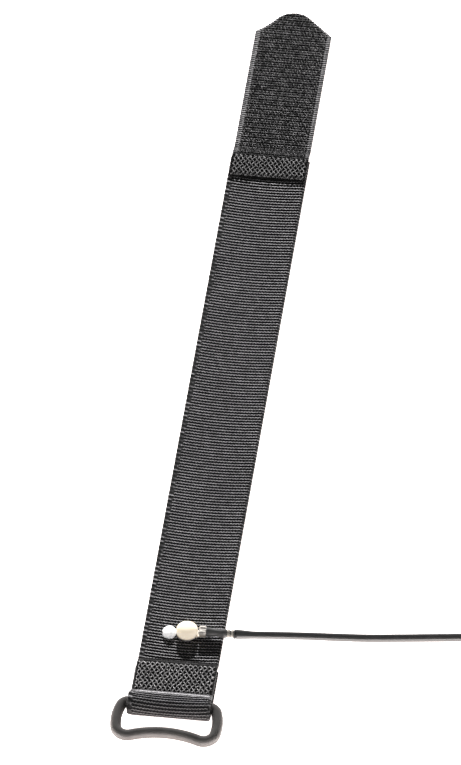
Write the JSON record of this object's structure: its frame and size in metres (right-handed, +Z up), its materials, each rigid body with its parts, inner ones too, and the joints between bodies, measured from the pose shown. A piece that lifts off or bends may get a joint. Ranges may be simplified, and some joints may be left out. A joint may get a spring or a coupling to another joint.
{
  "type": "anti-static wrist strap",
  "caption": "Woven wrist band folded round a wire ring, with a hook-tape tip, a contact plate, a snap and a thin round lead that ends in a pin plug.",
  "frame": {"origin": "under the middle of the band and ring, on the plane that the underside lies on, without the lead", "axes": "+Y along the band from the ring to the hook-tape tip, +X to the side the lead leaves by, +Z up from the skin side to the outer face"},
  "size_m": [0.1488, 0.3348, 0.0108],
  "materials": {
    "webbing": "charcoal woven webbing with cross ribs, dull",
    "hook_tape": "darker, fine hook tape, dull",
    "thread": "charcoal polyester thread, slight sheen",
    "ring_wire": "satin dark grey coating",
    "plate_steel": "brushed stainless steel",
    "rivet_metal": "bright, nearly white",
    "spring_metal": "spring bronze",
    "cap_cream": "cream white, glossy",
    "tinned_metal": "bright tinned metal",
    "copper": "stranded copper",
    "resistor_body": "lacquered resistor body",
    "sleeve_black": "black shrink sleeve, satin",
    "jacket": "black soft jacket, satin",
    "tie": "black tie, matt",
    "plug_plastic": "black moulded plastic, satin",
    "plug_metal": "nickel plated brass"
  },
  "bodies": {
    "root": {"band_fold": "webbing", "band_mount": "webbing", "fold_stitches": "thread", "contact_plate": "plate_steel", "snap_stud": "plate_steel", "anchor_rivet": "rivet_metal"},
    "ring": {"ring": "ring_wire"},
    "snap_spring": {"snap_spring": "spring_metal"},
    "lead": {"snap_socket": "cap_cream", "terminal": "tinned_metal", "conductor": "copper", "series_resistor": "resistor_body", "sleeve": "sleeve_black", "ferrule": "tinned_metal", "jacket_collar": "jacket", "cord_run": "jacket", "cord_coil": "jacket", "cord_tail": "jacket", "cord_tie": "tie", "plug_boot": "plug_plastic", "plug_grip": "plug_plastic", "plug_pin": "plug_metal", "plug_spring": "plug_metal", "plug_screw": "plate_steel"},
    "span_01": {"band_01": "webbing"},
    "span_02": {"band_02": "webbing"},
    "span_03": {"band_03": "webbing"},
    "span_04": {"band_04": "webbing"},
    "span_05": {"band_05": "webbing"},
    "span_06": {"band_06": "webbing"},
    "span_07": {"band_07": "webbing"},
    "span_08": {"band_08": "webbing"},
    "span_09": {"band_09": "webbing"},
    "span_10": {"band_10": "webbing"},
    "span_11": {"band_end": "webbing", "hook_tab_1": "hook_tape", "tip_stitches": "thread"},
    "span_12": {"hook_tab_2": "hook_tape"},
    "span_13": {"hook_tab_3": "hook_tape"},
    "span_14": {"hook_tab_4": "hook_tape"}
  },
  "joints": [
    {"name": "ring_swing", "type": "hinge", "parent": "root", "child": "ring", "pos_m": [0, -0.1526, 0.0033], "axis": [-1, 0, 0], "range_deg": [0, 170]},
    {"name": "snap_pull", "type": "slide", "parent": "root", "child": "snap_spring", "axis": [0, 0, 1], "range_m": [0, 0.01]},
    {"name": "lead_swivel", "type": "hinge", "parent": "snap_spring", "child": "lead", "pos_m": [0.0012, -0.1196, 0.003], "axis": [0, 0, 1], "range_deg": [-30, 40]},
    {"name": "wrap_01", "type": "hinge", "parent": "root", "child": "span_01", "pos_m": [0, -0.1026, 0.0015], "axis": [1, 0, 0], "range_deg": [0, 20]},
    {"name": "wrap_02", "type": "hinge", "parent": "span_01", "child": "span_02", "pos_m": [0, -0.0836, 0.0015], "axis": [1, 0, 0], "range_deg": [0, 20]},
    {"name": "wrap_03", "type": "hinge", "parent": "span_02", "child": "span_03", "pos_m": [0, -0.0646, 0.0015], "axis": [1, 0, 0], "range_deg": [0, 20]},
    {"name": "wrap_04", "type": "hinge", "parent": "span_03", "child": "span_04", "pos_m": [0, -0.0456, 0.0015], "axis": [1, 0, 0], "range_deg": [0, 20]},
    {"name": "wrap_05", "type": "hinge", "parent": "span_04", "child": "span_05", "pos_m": [0, -0.0266, 0.0015], "axis": [1, 0, 0], "range_deg": [0, 20]},
    {"name": "wrap_06", "type": "hinge", "parent": "span_05", "child": "span_06", "pos_m": [0, -0.0076, 0.0015], "axis": [1, 0, 0], "range_deg": [0, 20]},
    {"name": "wrap_07", "type": "hinge", "parent": "span_06", "child": "span_07", "pos_m": [0, 0.0114, 0.0015], "axis": [1, 0, 0], "range_deg": [0, 20]},
    {"name": "wrap_08", "type": "hinge", "parent": "span_07", "child": "span_08", "pos_m": [0, 0.0304, 0.0015], "axis": [1, 0, 0], "range_deg": [0, 20]},
    {"name": "wrap_09", "type": "hinge", "parent": "span_08", "child": "span_09", "pos_m": [0, 0.0494, 0.0015], "axis": [1, 0, 0], "range_deg": [0, 20]},
    {"name": "wrap_10", "type": "hinge", "parent": "span_09", "child": "span_10", "pos_m": [0, 0.0684, 0.0015], "axis": [1, 0, 0], "range_deg": [0, 20]},
    {"name": "wrap_11", "type": "hinge", "parent": "span_10", "child": "span_11", "pos_m": [0, 0.0874, 0.0015], "axis": [1, 0, 0], "range_deg": [0, 20]},
    {"name": "wrap_12", "type": "hinge", "parent": "span_11", "child": "span_12", "pos_m": [0, 0.1064, 0.0015], "axis": [1, 0, 0], "range_deg": [0, 20]},
    {"name": "wrap_13", "type": "hinge", "parent": "span_12", "child": "span_13", "pos_m": [0, 0.1254, 0.0015], "axis": [1, 0, 0], "range_deg": [0, 20]},
    {"name": "wrap_14", "type": "hinge", "parent": "span_13", "child": "span_14", "pos_m": [0, 0.1444, 0.0015], "axis": [1, 0, 0], "range_deg": [0, 20]}
  ],
  "couplings": [
    {"joint": "wrap_02", "follows": "wrap_01", "ratio": 1},
    {"joint": "wrap_03", "follows": "wrap_01", "ratio": 1},
    {"joint": "wrap_04", "follows": "wrap_01", "ratio": 1},
    {"joint": "wrap_05", "follows": "wrap_01", "ratio": 1},
    {"joint": "wrap_06", "follows": "wrap_01", "ratio": 1},
    {"joint": "wrap_07", "follows": "wrap_01", "ratio": 1},
    {"joint": "wrap_08", "follows": "wrap_01", "ratio": 1},
    {"joint": "wrap_09", "follows": "wrap_01", "ratio": 1},
    {"joint": "wrap_10", "follows": "wrap_01", "ratio": 1},
    {"joint": "wrap_11", "follows": "wrap_01", "ratio": 1},
    {"joint": "wrap_12", "follows": "wrap_01", "ratio": 1},
    {"joint": "wrap_13", "follows": "wrap_01", "ratio": 1},
    {"joint": "wrap_14", "follows": "wrap_01", "ratio": 1}
  ]
}
